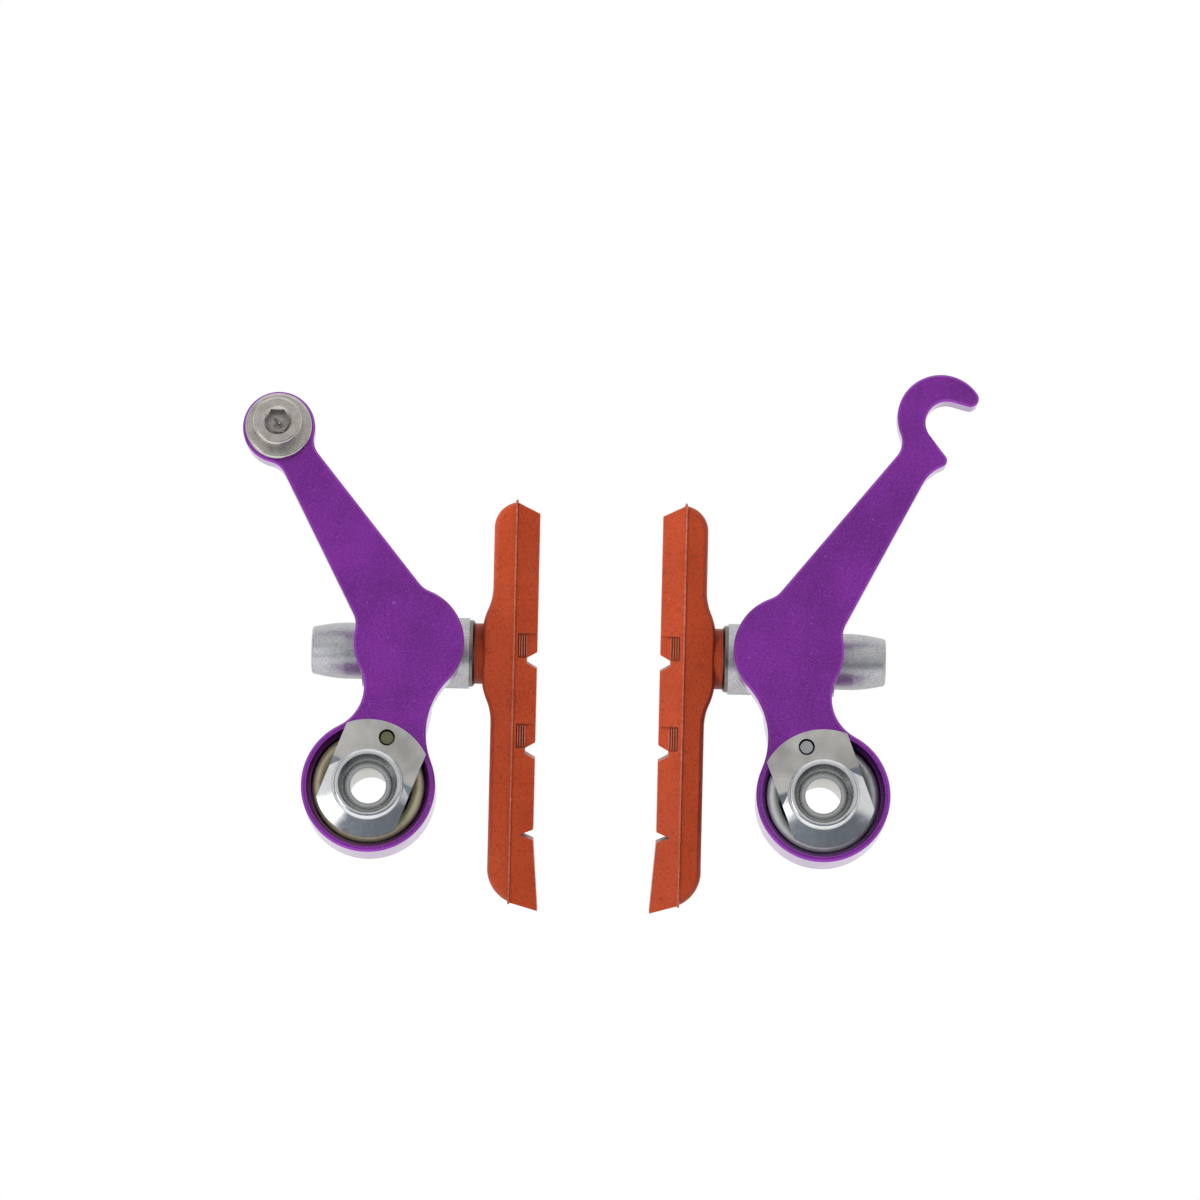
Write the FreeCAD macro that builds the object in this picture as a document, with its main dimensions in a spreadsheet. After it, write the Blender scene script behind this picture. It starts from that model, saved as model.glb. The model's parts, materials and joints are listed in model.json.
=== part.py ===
import FreeCAD, Part
import math
import os
import Sketcher
from FreeCAD import Placement, Rotation, Vector

# A cantilever brake: two mirrored arms on the studs of a bicycle frame.
# Millimetres. The origin lies midway between the studs, in the plane where the bushes meet the frame.
# X runs across the wheel, Z is up and the front of the brake faces -Y. A depth is measured from the
# frame towards the front, along -Y. Sizes across an arm are written for the left one, with +X to its pad.

SIZES = {
    # pivot and bush
    "stud_spacing": 80.0,
    "stud_bore_radius": 4.03,
    "bush_radius": 5.6,
    "bush_length": 17.5,
    "bush_chamfer": 0.4,
    "running_gap": 0.03,
    # outline of the arm
    "cup_radius": 11.8,
    "pad_boss_x": 6.5,
    "pad_boss_z": 25.65,
    "pad_boss_radius": 9.75,
    "neck_outer_radius": 7.8,
    "neck_inner_radius": 13.6,
    "bar_end_x": 17.5,
    "bar_end_z": 63.1,
    "bar_root_inner": 7.8,
    "bar_root_outer": 6.6,
    "bar_end_inner": 2.9,
    "bar_end_outer": 2.5,
    "bar_root_fillet": 4.5,
    "bar_end_fillet": 4.0,
    "anchor_x": 17.5,
    "anchor_z": 63.5,
    "anchor_radius": 6.4,
    "hook_x": 19.7,
    "hook_z": 67.9,
    "hook_radius": 7.75,
    "throat_x": 20.8,
    "throat_z": 67.0,
    "throat_radius": 3.85,
    "tip_drop": 15.0,
    "mouth_slope": 52.0,
    "tip_round": 1.5,
    "beak_reach": 6.4,
    "beak_round": 1.2,
    "beak_curve": 7.0,
    # depths of the arm
    "hub_gap": 0.4,
    "hub_radius": 8.4,
    "barrel_back": 9.8,
    "plate_back": 15.5,
    "plate_thickness": 5.0,
    "cup_bore_radius": 10.15,
    "cup_floor": 11.8,
    "cup_bevel_width": 0.75,
    "cup_bevel_depth": 1.4,
    "edge_chamfer": 0.35,
    # web that carries the pad post
    "post_depth": 7.9,
    "web_thickness": 7.8,
    "web_half_depth": 6.9,
    "web_rise": 9.0,
    "web_drop": 10.0,
    "web_corner": 2.5,
    "web_foot": 7.2,
    "slot_width": 7.4,
    "post_travel": 3.5,
    # tension cap
    "cap_hole_radius": 3.15,
    "cap_hub_radius": 6.8,
    "cap_gap": 0.35,
    "cap_lean": 21.0,
    "lobe_radius": 11.4,
    "lobe_thickness": 1.7,
    "lobe_break": 2.6,
    "lobe_fall": 0.7,
    "cap_flats": 15.0,
    "skirt_radius": 9.3,
    "skirt_edge": 0.6,
    "lip_radius": 6.35,
    "lip_height": 2.4,
    "lip_round": 0.9,
    "dish_radius": 5.2,
    "dish_depth": 3.6,
    "dish_floor_radius": 4.1,
    "dish_curve": 7.0,
    "spring_hole_radius": 1.45,
    # return spring
    "wire_radius": 1.1,
    "elbow_swell": 0.03,
    "coil_radius": 8.8,
    "coil_seat_gap": 0.1,
    "coil_height": 6.4,
    "spring_leg": 2.85,
    "spring_tail": 2.3,
    "tail_gap": 0.15,
    # pad post and washers
    "stud_radius": 3.0,
    "stud_gap": 0.1,
    "stud_end_gap": 0.6,
    "dome_radius": 5.85,
    "dome_edge": 1.6,
    "dome_hole_radius": 4.1,
    "ball_gap": 0.06,
    "cup_washer_radius": 6.3,
    "cup_washer_lap": 0.3,
    "inner_cup_length": 5.0,
    "outer_cup_length": 2.9,
    "thin_washer_radius": 5.95,
    "thin_washer_thickness": 0.95,
    "washer_chamfer": 0.35,
    "nut_radius": 5.0,
    "nut_length": 9.1,
    "nut_shoulder": 3.2,
    "nut_end_radius": 4.25,
    "nut_round": 0.6,
    "nut_curve": 30.0,
    "nut_socket": 5.0,
    "nut_socket_depth": 3.4,
    # brake pad
    "pad_top": 27.1,
    "pad_bottom": 43.8,
    "pad_width": 13.0,
    "pad_face_width": 10.6,
    "back_taper": 0.9,
    "pad_lean": 10.0,
    "collar_radius": 5.4,
    "collar_length": 1.4,
    "hump_height": 1.7,
    "hump_half": 4.0,
    "hump_ramp": 8.0,
    "back_thickness": 3.9,
    "block_thickness": 4.1,
    "back_top_round": 4.6,
    "back_bottom_round": 6.5,
    "back_edge_round": 2.0,
    "block_top_slope": 2.0,
    "toe_tip_reach": 1.0,
    "toe_tip_drop": 1.5,
    "groove_first": 0.9,
    "groove_second": 16.9,
    "slit_place": 31.8,
    "groove_half": 1.45,
    "groove_floor": 0.45,
    "groove_depth": 1.8,
    "slit_half": 0.95,
    "slit_depth": 2.35,
    "recess_width": 3.4,
    "recess_rise": 4.4,
    "recess_depth": 0.35,
    "recess_fall": 0.9,
    "flash_proud": 0.25,
    "flash_thickness": 0.3,
    "plate_insert_thickness": 1.5,
    "plate_insert_width": 8.0,
    "plate_insert_top": 21.0,
    "plate_insert_bottom": 37.0,
    "plate_insert_cover": 1.2,
    # cable anchor
    "anchor_thread_radius": 2.5,
    "anchor_head_radius": 4.25,
    "anchor_head_height": 5.0,
    "anchor_head_round": 0.5,
    "anchor_socket": 4.0,
    "anchor_socket_depth": 2.9,
    "anchor_socket_cone": 1.1,
    "anchor_socket_rim": 2.55,
    "anchor_bolt_reach": 1.0,
    "anchor_washer_radius": 5.85,
    "anchor_washer_thickness": 1.7,
    "anchor_washer_round": 0.5,
    "thread_gap": 0.02,
}

COIL_TURNS = 2.5
CUT_PAST = 5.0
SIDES = {"left": 1, "right": -1}
TINY = 1e-4


class Size:
    """A length: the expression that binds it to the sheet, beside the number it has now."""

    def __init__(self, text, value):
        self.text = text
        self.value = value

    def __add__(self, other):
        return join(self, "+", other, self.value + number(other))

    def __sub__(self, other):
        return join(self, "-", other, self.value - number(other))

    def __rsub__(self, other):
        return join(other, "-", self, number(other) - self.value)

    def __mul__(self, other):
        return join(self, "*", other, self.value * number(other))

    def __truediv__(self, other):
        return join(self, "/", other, self.value / number(other))

    def __neg__(self):
        return Size(f"(-{self.text})", -self.value)

    __radd__ = __add__
    __rmul__ = __mul__


def number(thing):
    return thing.value if isinstance(thing, Size) else float(thing)


def formula(thing):
    return thing.text if isinstance(thing, Size) else repr(float(thing))


def join(first, sign, second, value):
    return Size(f"({formula(first)} {sign} {formula(second)})", value)


def root(square):
    return Size(f"sqrt({square.text})", math.sqrt(square.value))


def sine(angle):
    return Size(f"sin({formula(angle)})", math.sin(math.radians(number(angle))))


def cosine(angle):
    return Size(f"cos({formula(angle)})", math.cos(math.radians(number(angle))))


class Sizes:
    """The sheet's cells by name."""

    def __init__(self, document):
        sheet = document.addObject("Spreadsheet::Sheet", "Sizes")
        for row, (name, value) in enumerate(SIZES.items(), start=1):
            sheet.set(f"A{row}", name)
            sheet.set(f"B{row}", str(value))
            sheet.setAlias(f"B{row}", name)
            setattr(self, name, Size(f"Sizes.{name}", value))


doc = FreeCAD.newDocument("cantilever_brake")
s = Sizes(doc)
doc.recompute()

# Sizes that several pieces share
plate_front = s.plate_back + s.plate_thickness
cap_back = plate_front + s.cap_gap
cap_lip = cap_back + s.lip_height
coil_start = s.cup_floor + s.coil_seat_gap + s.wire_radius
coil_end = coil_start + s.coil_height
web_half = s.web_thickness / 2
dome_rim = web_half + s.dome_edge
ball_radius = root(dome_rim * dome_rim + s.dome_radius * s.dome_radius)
inner_cup_end = dome_rim + s.inner_cup_length
outer_cup_end = dome_rim + s.outer_cup_length
thin_washer_end = inner_cup_end + s.thin_washer_thickness
hump_top = thin_washer_end + s.collar_length
pad_back = hump_top + s.hump_height
pad_parting = pad_back + s.back_thickness
pad_face = pad_parting + s.block_thickness
insert_back = pad_back + s.plate_insert_cover


def new_body(name):
    body = doc.addObject("PartDesign::Body", name)
    body.Label = name
    return body


def bind(thing, prop, size):
    """Sets a property from the sheet."""
    thing.setExpression(prop, formula(size))


def swelling(start, end, radius, side):
    """The middle of a short arc that swells to the left (1) or the right (-1) of the way to its end."""
    half = (end - start) / 2
    left = Vector(-half.y, half.x, 0).normalize() * side
    return start + half + left * (radius - math.sqrt(max(radius**2 - half.Length**2, 0)))


class Drawing:
    """A sketch on one of a body's own planes, with every point and radius held from the sheet."""

    def __init__(self, body, name, plane, offset=0.0):
        self.body = body
        self.sketch = body.newObject("Sketcher::SketchObject", f"{body.Name}_{name}")
        planes = {f.Role: f for f in body.Origin.OriginFeatures}
        self.sketch.AttachmentSupport = [(planes[plane], "")]
        self.sketch.MapMode = "FlatFace"
        bind(self.sketch, ".AttachmentOffset.Base.z", offset)

    def hold(self, kind, *place, size):
        index = self.sketch.addConstraint(Sketcher.Constraint(kind, *place, number(size)))
        bind(self.sketch, f"Constraints[{index}]", size)

    def relate(self, kind, *place):
        self.sketch.addConstraint(Sketcher.Constraint(kind, *place))

    def place(self, element, end, point):
        """Holds an end (1, 2) or centre (3) of an element at a point, measured from the origin."""
        self.hold("DistanceX", -1, 1, element, end, size=point[0])
        self.hold("DistanceY", -1, 1, element, end, size=point[1])

    def circle(self, centre, radius):
        spot = Vector(number(centre[0]), number(centre[1]), 0)
        element = self.sketch.addGeometry(Part.Circle(spot, Vector(0, 0, 1), number(radius)))
        self.place(element, 3, centre)
        self.hold("Radius", element, size=radius)

    def arc(self, start, middle, end):
        """Adds an arc. Returns its number and which of its ends lie at start and at end."""
        curve = Part.Arc(start, middle, end).toShape().Curve
        first, between, last = [
            math.atan2(p.y - curve.Center.y, p.x - curve.Center.x) for p in (start, middle, end)
        ]
        forward = (between - first) % math.tau < (last - first) % math.tau
        circle = Part.Circle(curve.Center, Vector(0, 0, 1), curve.Radius)
        span = (first, last) if forward else (last, first)
        element = self.sketch.addGeometry(Part.ArcOfCircle(circle, *span))
        return (element, 1, 2) if forward else (element, 2, 1)

    def chain(self, *corners):
        """A closed outline. A corner is (x, y), or (x, y, radius, side) where an arc leads to the
        next corner and swells to the left (1) or the right (-1) of the way there."""
        spots = [Vector(number(c[0]), number(c[1]), 0) for c in corners]
        pieces = []
        for corner, here, there in zip(corners, spots, spots[1:] + spots[:1]):
            if len(corner) == 2:
                line = self.sketch.addGeometry(Part.LineSegment(here, there))
                pieces.append((line, 1, 2))
                continue
            middle = swelling(here, there, number(corner[2]), corner[3])
            pieces.append(self.arc(here, middle, there))
        following = pieces[1:] + pieces[:1]
        for corner, (element, start, end), (after, after_start, _) in zip(corners, pieces, following):
            self.relate("Coincident", element, end, after, after_start)
            self.place(element, start, corner[:2])
            if len(corner) == 4:
                self.hold("Radius", element, size=corner[2])

    def long_hole(self, low, high, radius):
        """A hole with round ends, centred on two points one above the other."""
        r = number(radius)
        bottom, top = [Vector(number(p[0]), number(p[1]), 0) for p in (low, high)]
        right, up = Vector(r, 0, 0), Vector(0, r, 0)
        upper = self.arc(top + right, top + up, top - right)
        lower = self.arc(bottom - right, bottom - up, bottom + right)
        left_side = (self.sketch.addGeometry(Part.LineSegment(top - right, bottom - right)), 1, 2)
        right_side = (self.sketch.addGeometry(Part.LineSegment(bottom + right, top + right)), 1, 2)
        loop = [upper, left_side, lower, right_side]
        for piece, after in zip(loop, loop[1:] + loop[:1]):
            self.relate("Tangent", piece[0], piece[2], after[0], after[1])
        self.place(lower[0], 3, low)
        self.place(upper[0], 3, high)
        self.relate("Equal", lower[0], upper[0])
        self.hold("Radius", upper[0], size=radius)

    def hexagon(self, centre, across_flats):
        reach = across_flats / math.sqrt(3)
        turns = [60 * n for n in range(6)]
        self.chain(*[(centre[0] + reach * cosine(a), centre[1] + reach * sine(a)) for a in turns])


def pad(drawing, length, both_ways=False):
    """Extrudes a drawing along its normal."""
    feature = drawing.body.newObject("PartDesign::Pad", f"{drawing.sketch.Name}_pad")
    feature.Profile = drawing.sketch
    if both_ways:
        feature.SideType = "Symmetric"
    bind(feature, "Length", length)
    doc.recompute()
    return feature


def pocket(drawing, length=None, towards_normal=False, both_ways=False):
    """Cuts a drawing out of its body, right through or to a length."""
    before = drawing.body.Shape.Volume
    feature = drawing.body.newObject("PartDesign::Pocket", f"{drawing.sketch.Name}_pocket")
    feature.Profile = drawing.sketch
    feature.Reversed = towards_normal
    if both_ways:
        feature.SideType = "Symmetric"
    if length is None:
        feature.Type = "ThroughAll"
    else:
        bind(feature, "Length", length)
    doc.recompute()
    assert drawing.body.Shape.Volume < before - TINY, f"{feature.Name} cuts nothing"
    return feature


def turn(drawing, axis, cut=False):
    """Revolves a drawing about its own H_Axis or V_Axis, to add or to cut."""
    kind = "Groove" if cut else "Revolution"
    feature = drawing.body.newObject(f"PartDesign::{kind}", f"{drawing.sketch.Name}_turn")
    feature.Profile = drawing.sketch
    feature.ReferenceAxis = (drawing.sketch, [axis])
    feature.Angle = 360
    doc.recompute()
    return feature


def dress(body, kind, size, chosen):
    """Puts a Fillet or a Chamfer on the edges of a body that a test picks."""
    tip = body.Tip
    names = [f"Edge{n}" for n, edge in enumerate(tip.Shape.Edges, start=1) if chosen(edge)]
    assert names, f"{body.Name} has no such edge"
    feature = body.newObject(f"PartDesign::{kind}", f"{body.Name}_{kind}")
    feature.Base = (tip, names)
    bind(feature, "Radius" if kind == "Fillet" else "Size", size)
    doc.recompute()
    return feature


def upright_at(x, z):
    """Picks edges that run along Y through a point of the XZ plane."""

    def chosen(edge):
        first, last = edge.Vertexes[0].Point, edge.Vertexes[-1].Point
        near = all(math.hypot(p.x - x, p.z - z) < 0.01 for p in (first, last))
        return near and abs(first.y - last.y) > TINY

    return chosen


def pivot_place(side):
    """On a pivot axis, in the frame's plane."""
    return (-side * s.stud_spacing / 2, 0.0, 0.0)


def post_place(side):
    """At the centre of a pad's ball washers."""
    return (side * (s.pad_boss_x - s.stud_spacing / 2), -s.post_depth, s.pad_boss_z)


def put(thing, spot, turned=None):
    """Places a piece at a spot from the sheet, turned by (axis, degrees)."""
    thing.Placement = Placement(Vector(), Rotation(*turned) if turned else Rotation())
    for letter, size in zip("xyz", spot):
        bind(thing, f".Placement.Base.{letter}", size)


def put_on_post(thing, side):
    """Places a piece drawn with +X to the rim on a pad post."""
    put(thing, post_place(side), (Vector(0, 0, 1), 0 if side > 0 else 180))


def lean_on_left_post(thing):
    """Places a piece on the left pad post, turned about it so that its top comes forward."""
    put(thing, post_place(SIDES["left"]), (Vector(1, 0, 0), s.pad_lean.value))
    bind(thing, ".Placement.Rotation.Angle", s.pad_lean)


# Outline of an arm


def meet(centre, radius, start, along, later):
    """Where a line from start along a unit vector crosses a circle, first or later."""
    from_centre = start - centre
    half = from_centre.dot(along)
    reach = math.sqrt(half**2 - from_centre.dot(from_centre) + radius**2)
    return start + along * (-half + (reach if later else -reach))


def touching_centre(first, first_radius, second, second_radius, radius, left):
    """Centre of the circle that touches two others from outside, left or right of the way between."""
    way = second - first
    apart = way.Length
    near, far = first_radius + radius, second_radius + radius
    along = (near**2 - far**2 + apart**2) / (2 * apart)
    across = math.sqrt(near**2 - along**2) * (1 if left else -1)
    unit = way / apart
    return first + unit * along + Vector(-unit.y, unit.x, 0) * across


def middle_of(centre, radius, start, end, away):
    """A point of the arc between two points of a circle, on the side that away points to."""
    chord = end - start
    normal = Vector(-chord.y, chord.x, 0).normalize()
    if normal.dot(away) < 0:
        normal = normal * -1
    return centre + normal * radius


def bar_edge(boss, bar_end, root_half, end_half, side_sign):
    """A point and the unit vector of a bar's edge that passes two points at given distances."""
    way = bar_end - boss
    lean = math.asin((root_half - end_half) / way.Length)
    axis = way / way.Length
    normal = Vector(-axis.y, axis.x, 0) * side_sign
    across = normal * math.cos(lean) + axis * math.sin(lean)
    along = axis * math.cos(lean) - normal * math.sin(lean)
    return boss + across * root_half, along


def flat(point):
    """A point from the sheet as a place in a sketch."""
    return Vector(number(point[0]), number(point[1]), 0)


def anchor_head(drawing, side, start, end):
    """Draws the round head of the left arm between the ends of the bar's edges.
    Returns its pieces, and the pairs of them that meet smoothly."""
    spot, radius = (-side * s.anchor_x, s.anchor_z), s.anchor_radius
    above = Vector(0, 1, 0)
    head = drawing.arc(start, middle_of(flat(spot), radius.value, start, end, above), end)
    drawing.place(head[0], 3, spot)
    drawing.hold("Radius", head[0], size=radius)
    return [head], []


def hook_points(side):
    """The hook's corners: where its throat meets the mouth's upper and lower lips, and its beak."""
    out = -side
    x, z, radius = s.throat_x, s.throat_z, s.throat_radius
    upper = (out * (x + radius * sine(s.tip_drop)), z + radius * cosine(s.tip_drop))
    lower_x, lower_z = x - radius * sine(s.mouth_slope), z - radius * cosine(s.mouth_slope)
    beak_x = lower_x + s.beak_reach * cosine(s.mouth_slope)
    beak_z = lower_z - s.beak_reach * sine(s.mouth_slope)
    return upper, (out * lower_x, lower_z), (out * beak_x, beak_z)


def hook_tip(side):
    """Where the mouth's upper lip runs out at the hook's outer circle."""
    upper = flat(hook_points(side)[0])
    drop = math.radians(s.tip_drop.value)
    along = Vector(-side * math.cos(drop), -math.sin(drop), 0)
    return meet(flat((-side * s.hook_x, s.hook_z)), s.hook_radius.value, upper, along, later=True)


def beak_foot(side, start, along):
    """Where the curve under the beak runs smoothly into the bar's outer edge."""
    radius = s.beak_curve.value
    reach = flat(hook_points(side)[2]) - start
    ahead = reach.dot(along)
    clear = (reach - along * ahead).Length
    return start + along * (ahead - math.sqrt(clear * (2 * radius - clear)))


def hook_head(drawing, side, start, end):
    """Draws the cable hook of the right arm: outer round, tip, throat, lower lip and beak.
    Returns its pieces, and the pairs of them that meet smoothly."""
    sketch = drawing.sketch
    spot, radius = (-side * s.hook_x, s.hook_z), s.hook_radius
    points = hook_points(side)
    upper, lower, beak = [flat(point) for point in points]
    tip = hook_tip(side)
    above = Vector(0, 1, 0)
    outer = drawing.arc(start, middle_of(flat(spot), radius.value, start, tip, above), tip)
    lip = (sketch.addGeometry(Part.LineSegment(tip, upper)), 1, 2)
    throat = drawing.arc(upper, swelling(upper, lower, s.throat_radius.value, side), lower)
    slope = (sketch.addGeometry(Part.LineSegment(lower, beak)), 1, 2)
    under = drawing.arc(beak, swelling(beak, end, s.beak_curve.value, side), end)
    drawing.place(outer[0], 3, spot)
    drawing.hold("Radius", outer[0], size=radius)
    drawing.hold("Radius", throat[0], size=s.throat_radius)
    drawing.place(throat[0], throat[1], points[0])
    drawing.place(throat[0], throat[2], points[1])
    drawing.place(slope[0], 2, points[2])
    drawing.hold("Radius", under[0], size=s.beak_curve)
    return [outer, lip, throat, slope, under], [(lip, throat)]


def arm_outline(body, side):
    """Draws the closed outline of an arm: cup, neck, pad boss, tapered bar and the head at its end.
    Returns the drawing, and the corners between its pieces."""
    drawing = Drawing(body, "outline", "XZ_Plane", s.plate_back)
    sketch = drawing.sketch
    anchored = side > 0
    head_size = (s.anchor_x, s.anchor_z, s.anchor_radius) if anchored else (s.hook_x, s.hook_z, s.hook_radius)
    head_r = head_size[2].value
    boss_spot = (side * s.pad_boss_x, s.pad_boss_z)
    bar_spot = (-side * s.bar_end_x, s.bar_end_z)
    pivot, boss, bar_end = Vector(), flat(boss_spot), flat(bar_spot)
    head = flat((-side * head_size[0], head_size[1]))
    cup_r, boss_r = s.cup_radius.value, s.pad_boss_radius.value
    inner_r, outer_r = s.neck_inner_radius.value, s.neck_outer_radius.value
    inward, below = Vector(side, 0, 0), Vector(0, -1, 0)

    inner_neck = touching_centre(pivot, cup_r, boss, boss_r, inner_r, left=side < 0)
    outer_neck = touching_centre(pivot, cup_r, boss, boss_r, outer_r, left=side > 0)
    inner_line = bar_edge(boss, bar_end, s.bar_root_inner.value, s.bar_end_inner.value, -side)
    outer_line = bar_edge(boss, bar_end, s.bar_root_outer.value, s.bar_end_outer.value, side)
    cup_inner = inner_neck * (cup_r / inner_neck.Length)
    cup_outer = outer_neck * (cup_r / outer_neck.Length)
    boss_inner = boss + (inner_neck - boss) * (boss_r / (boss_r + inner_r))
    boss_outer = boss + (outer_neck - boss) * (boss_r / (boss_r + outer_r))
    corners = {
        "root_inner": meet(boss, boss_r, *inner_line, later=True),
        "root_outer": meet(boss, boss_r, *outer_line, later=True),
        "end_inner": meet(head, head_r, *inner_line, later=False),
    }
    if anchored:
        corners["end_outer"] = meet(head, head_r, *outer_line, later=False)
    else:
        corners["end_outer"] = beak_foot(side, *outer_line)
    root_in, root_out = corners["root_inner"], corners["root_outer"]
    end_in, end_out = corners["end_inner"], corners["end_outer"]

    cup = drawing.arc(cup_outer, middle_of(pivot, cup_r, cup_outer, cup_inner, below), cup_inner)
    inner_middle = middle_of(inner_neck, inner_r, cup_inner, boss_inner, -inward)
    neck_in = drawing.arc(cup_inner, inner_middle, boss_inner)
    boss_in = drawing.arc(boss_inner, middle_of(boss, boss_r, boss_inner, root_in, inward), root_in)
    edge_in = (sketch.addGeometry(Part.LineSegment(root_in, end_in)), 1, 2)
    draw_head = anchor_head if anchored else hook_head
    head_pieces, head_smooth = draw_head(drawing, side, end_in, end_out)
    edge_out = (sketch.addGeometry(Part.LineSegment(end_out, root_out)), 1, 2)
    boss_out = drawing.arc(root_out, middle_of(boss, boss_r, root_out, boss_outer, -inward), boss_outer)
    outer_middle = middle_of(outer_neck, outer_r, boss_outer, cup_outer, inward)
    neck_out = drawing.arc(boss_outer, outer_middle, cup_outer)

    loop = [cup, neck_in, boss_in, edge_in, *head_pieces, edge_out, boss_out, neck_out]
    smooth = [(cup, neck_in), (neck_in, boss_in), (boss_out, neck_out), (neck_out, cup), *head_smooth]
    if not anchored:
        smooth.append((head_pieces[-1], edge_out))
    for piece, after in zip(loop, loop[1:] + loop[:1]):
        kind = "Tangent" if (piece, after) in smooth else "Coincident"
        drawing.relate(kind, piece[0], piece[2], after[0], after[1])
    drawing.relate("Coincident", cup[0], 3, -1, 1)
    drawing.hold("Radius", cup[0], size=s.cup_radius)
    drawing.hold("Radius", neck_in[0], size=s.neck_inner_radius)
    drawing.hold("Radius", neck_out[0], size=s.neck_outer_radius)
    drawing.place(boss_in[0], 3, boss_spot)
    drawing.hold("Radius", boss_in[0], size=s.pad_boss_radius)
    drawing.relate("Coincident", boss_out[0], 3, boss_in[0], 3)
    drawing.relate("Equal", boss_out[0], boss_in[0])
    end_mark = sketch.addGeometry(Part.Point(bar_end), True)
    drawing.place(end_mark, 1, bar_spot)
    drawing.hold("Distance", boss_in[0], 3, edge_in[0], size=s.bar_root_inner)
    drawing.hold("Distance", boss_in[0], 3, edge_out[0], size=s.bar_root_outer)
    drawing.hold("Distance", end_mark, 1, edge_in[0], size=s.bar_end_inner)
    drawing.hold("Distance", end_mark, 1, edge_out[0], size=s.bar_end_outer)
    doc.recompute()
    return drawing, corners


def make_arm(name, side):
    """One arm, turned and milled from a single bar."""
    body = new_body(f"{name}_arm")
    anchored = side > 0
    outline, corners = arm_outline(body, side)
    pad(outline, s.plate_thickness)
    rounds = {"root_inner": s.bar_root_fillet, "root_outer": s.bar_root_fillet, "end_inner": s.bar_end_fillet}
    if anchored:
        rounds["end_outer"] = s.bar_end_fillet
    else:
        corners["tip"], corners["beak"] = hook_tip(side), flat(hook_points(side)[2])
        rounds["tip"], rounds["beak"] = s.tip_round, s.beak_round
    for key, radius in rounds.items():
        dress(body, "Fillet", radius, upright_at(corners[key].x, corners[key].y))

    barrel = Drawing(body, "barrel", "XZ_Plane", s.barrel_back)
    barrel.circle((0.0, 0.0), s.cup_radius)
    pad(barrel, s.plate_back - s.barrel_back)
    hub = Drawing(body, "hub", "XZ_Plane", s.hub_gap)
    hub.circle((0.0, 0.0), s.hub_radius)
    pad(hub, s.barrel_back - s.hub_gap)

    web_back = s.post_depth - s.web_half_depth
    web = Drawing(body, "web", "XZ_Plane", web_back)
    near, far = s.pad_boss_x + web_half, s.pad_boss_x - web_half
    top, waist = s.pad_boss_z + s.web_rise, s.pad_boss_z - s.web_drop
    corner = s.web_corner
    web.chain(
        (side * near, top - corner, corner, -side),
        (side * (near - corner), top),
        (side * (far + corner), top, corner, -side),
        (side * far, top - corner),
        (side * far, waist),
        (-side * s.web_foot, 0.0),
        (side * s.web_foot, 0.0),
        (side * near, waist),
    )
    pad(web, s.plate_back - web_back)

    cup = Drawing(body, "cup", "XY_Plane")
    bore = s.bush_radius + s.running_gap
    bevel = s.cup_bore_radius + s.cup_bevel_width
    behind, before = s.hub_gap - CUT_PAST, plate_front + CUT_PAST
    cup.chain(
        (0.0, -behind),
        (bore, -behind),
        (bore, -s.cup_floor),
        (s.cup_bore_radius, -s.cup_floor),
        (s.cup_bore_radius, s.cup_bevel_depth - plate_front),
        (bevel, -plate_front),
        (bevel, -before),
        (0.0, -before),
    )
    turn(cup, "V_Axis", cut=True)

    slot = Drawing(body, "slot", "YZ_Plane")
    middle, run = -s.post_depth, s.post_travel
    slot.long_hole((middle, s.pad_boss_z - run), (middle, s.pad_boss_z + run), s.slot_width / 2)
    pocket(slot, both_ways=True)

    tail = Drawing(body, "tail_hole", "XZ_Plane", s.cup_floor)
    tail.circle(spring_tail_spot(side), s.wire_radius + s.tail_gap)
    pocket(tail, s.cup_floor - s.barrel_back + s.wire_radius)
    if anchored:
        thread = Drawing(body, "thread", "XZ_Plane", s.plate_back)
        thread.circle((-side * s.anchor_x, s.anchor_z), s.anchor_thread_radius + s.thread_gap)
        pocket(thread, towards_normal=True)

    def front_outline(edge):
        flat = all(abs(v.Point.y + plate_front.value) < TINY for v in edge.Vertexes)
        middle = edge.valueAt((edge.FirstParameter + edge.LastParameter) / 2)
        far_out = math.hypot(middle.x, middle.z) > bevel.value + TINY
        thread_edge = isinstance(edge.Curve, Part.Circle) and len(edge.Vertexes) == 1
        return flat and abs(middle.y + plate_front.value) < TINY and far_out and not thread_edge

    dress(body, "Chamfer", s.edge_chamfer, front_outline)
    put(body, pivot_place(side))
    return body


def make_bush(name, side):
    """The sleeve that stays still on the frame's stud while the arm turns round it."""
    body = new_body(f"{name}_pivot_bush")
    profile = Drawing(body, "profile", "XY_Plane")
    outside, chamfer = s.bush_radius, s.bush_chamfer
    profile.chain(
        (s.stud_bore_radius, 0.0),
        (outside - chamfer, 0.0),
        (outside, -chamfer),
        (outside, chamfer - s.bush_length),
        (outside - chamfer, -s.bush_length),
        (s.stud_bore_radius, -s.bush_length),
    )
    turn(profile, "V_Axis")
    put(body, pivot_place(side))
    return body


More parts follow.
